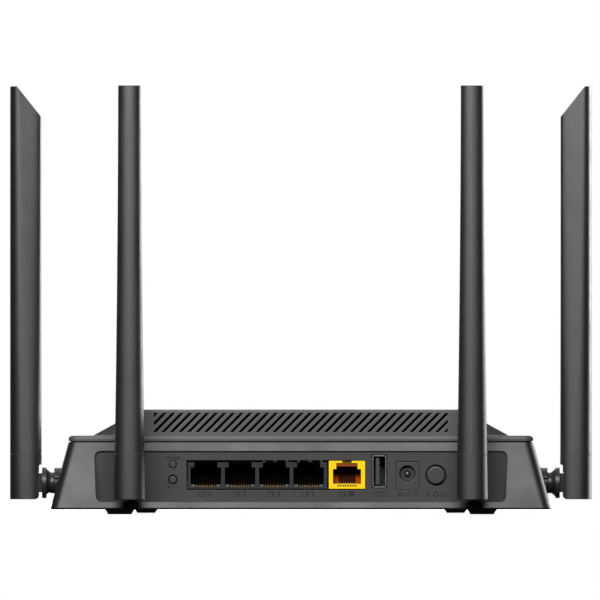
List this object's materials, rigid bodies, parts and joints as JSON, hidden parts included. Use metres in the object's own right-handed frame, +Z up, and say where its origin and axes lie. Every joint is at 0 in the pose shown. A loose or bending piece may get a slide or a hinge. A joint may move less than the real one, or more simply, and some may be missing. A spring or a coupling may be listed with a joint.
{
  "type": "wireless router",
  "caption": "Flat wireless router with a leaning-walled case, a wedge hump with slanted vents, recessed sockets and jointed stick antennas.",
  "frame": {"origin": "middle of the bounding box's base, on the surface under the feet", "axes": "+X to the right as seen from the socket side, +Y from the socket side to the front, +Z up"},
  "size_m": [0.2374, 0.1521, 0.1745],
  "materials": {
    "shell_plastic": "fine satin texture",
    "antenna_plastic": "satin",
    "button_plastic": "satin",
    "socket_black": "satin",
    "socket_yellow": "semi-gloss",
    "rubber": "matt",
    "steel": "plated",
    "contact_gold": "plated",
    "aluminium": "extruded",
    "board": "solder mask",
    "chip": "moulded",
    "ferrite": "matt",
    "capacitor": "sleeved",
    "clear_plastic": "polished",
    "thermal_pad": "soft",
    "led": "clear",
    "copper": "bare",
    "coax_black": "satin"
  },
  "bodies": {
    "case": {"lower_shell": "shell_plastic", "top_cover": "shell_plastic", "port_panel": "shell_plastic", "rubber_feet": "rubber", "case_screws": "steel", "circuit_board": "board", "board_screws": "steel", "lan_jack_block": "socket_black", "lan_contacts": "contact_gold", "wan_jack": "socket_yellow", "wan_contacts": "contact_gold", "usb_shell": "steel", "usb_tongue": "socket_black", "usb_contacts": "contact_gold", "dc_jack": "socket_black", "dc_pin": "steel", "power_switch": "socket_black", "tact_switches": "socket_black", "button_board": "board", "processor_shield": "steel", "radio_shield_left": "steel", "radio_shield_right": "steel", "thermal_pad": "thermal_pad", "heatsink": "aluminium", "processor": "chip", "board_chips": "chip", "transformers": "chip", "capacitors": "capacitor", "inductors": "ferrite", "status_leds": "led", "light_guide": "clear_plastic", "coax_plugs": "contact_gold", "antenna_bushings": "antenna_plastic", "left_side_coax": "coax_black", "right_side_coax": "coax_black", "left_back_coax": "coax_black", "right_back_coax": "coax_black"},
    "power_button": {"power_button": "button_plastic"},
    "wifi_button": {"wifi_button": "button_plastic"},
    "wps_button": {"wps_button": "button_plastic"},
    "left_side_knuckle": {"left_side_swivel": "antenna_plastic", "left_side_hinge_pin": "steel"},
    "left_side_antenna": {"left_side_antenna_foot": "antenna_plastic", "left_side_antenna_sleeve": "antenna_plastic", "left_side_radiator": "copper"},
    "right_side_knuckle": {"right_side_swivel": "antenna_plastic", "right_side_hinge_pin": "steel"},
    "right_side_antenna": {"right_side_antenna_foot": "antenna_plastic", "right_side_antenna_sleeve": "antenna_plastic", "right_side_radiator": "copper"},
    "left_back_knuckle": {"left_back_swivel": "antenna_plastic", "left_back_hinge_pin": "steel"},
    "left_back_antenna": {"left_back_antenna_foot": "antenna_plastic", "left_back_antenna_sleeve": "antenna_plastic", "left_back_radiator": "copper"},
    "right_back_knuckle": {"right_back_swivel": "antenna_plastic", "right_back_hinge_pin": "steel"},
    "right_back_antenna": {"right_back_antenna_foot": "antenna_plastic", "right_back_antenna_sleeve": "antenna_plastic", "right_back_radiator": "copper"}
  },
  "joints": [
    {"name": "left_side_swivel_joint", "type": "hinge", "parent": "case", "child": "left_side_knuckle", "pos_m": [-0.1006, -0.044, 0.01285], "axis": [1, 0, 0], "range_deg": [-90, 90]},
    {"name": "left_side_tilt_joint", "type": "hinge", "parent": "left_side_knuckle", "child": "left_side_antenna", "pos_m": [-0.1101, -0.044, 0.01005], "axis": [0, -1, 0], "range_deg": [0, 90]},
    {"name": "right_side_swivel_joint", "type": "hinge", "parent": "case", "child": "right_side_knuckle", "pos_m": [0.1006, -0.044, 0.01285], "axis": [1, 0, 0], "range_deg": [-90, 90]},
    {"name": "right_side_tilt_joint", "type": "hinge", "parent": "right_side_knuckle", "child": "right_side_antenna", "pos_m": [0.1101, -0.044, 0.01005], "axis": [0, 1, 0], "range_deg": [0, 90]},
    {"name": "left_back_swivel_joint", "type": "hinge", "parent": "case", "child": "left_back_knuckle", "pos_m": [-0.0697, -0.058, 0.01285], "axis": [0, 1, 0], "range_deg": [-90, 50]},
    {"name": "left_back_tilt_joint", "type": "hinge", "parent": "left_back_knuckle", "child": "left_back_antenna", "pos_m": [-0.0697, -0.0675, 0.01005], "axis": [1, 0, 0], "range_deg": [0, 90]},
    {"name": "right_back_swivel_joint", "type": "hinge", "parent": "case", "child": "right_back_knuckle", "pos_m": [0.0697, -0.058, 0.01285], "axis": [0, -1, 0], "range_deg": [-90, 50]},
    {"name": "right_back_tilt_joint", "type": "hinge", "parent": "right_back_knuckle", "child": "right_back_antenna", "pos_m": [0.0697, -0.0675, 0.01005], "axis": [1, 0, 0], "range_deg": [0, 90]},
    {"name": "power_press", "type": "slide", "parent": "case", "child": "power_button", "axis": [0, 1, 0], "range_m": [0, 0.0018], "stiffness_N_per_m": 400, "springref_m": -0.001},
    {"name": "wifi_press", "type": "slide", "parent": "case", "child": "wifi_button", "axis": [0, 1, 0], "range_m": [0, 0.0005], "stiffness_N_per_m": 1500, "springref_m": -0.0003},
    {"name": "wps_press", "type": "slide", "parent": "case", "child": "wps_button", "axis": [0, 1, 0], "range_m": [0, 0.0005], "stiffness_N_per_m": 1500, "springref_m": -0.0003}
  ]
}
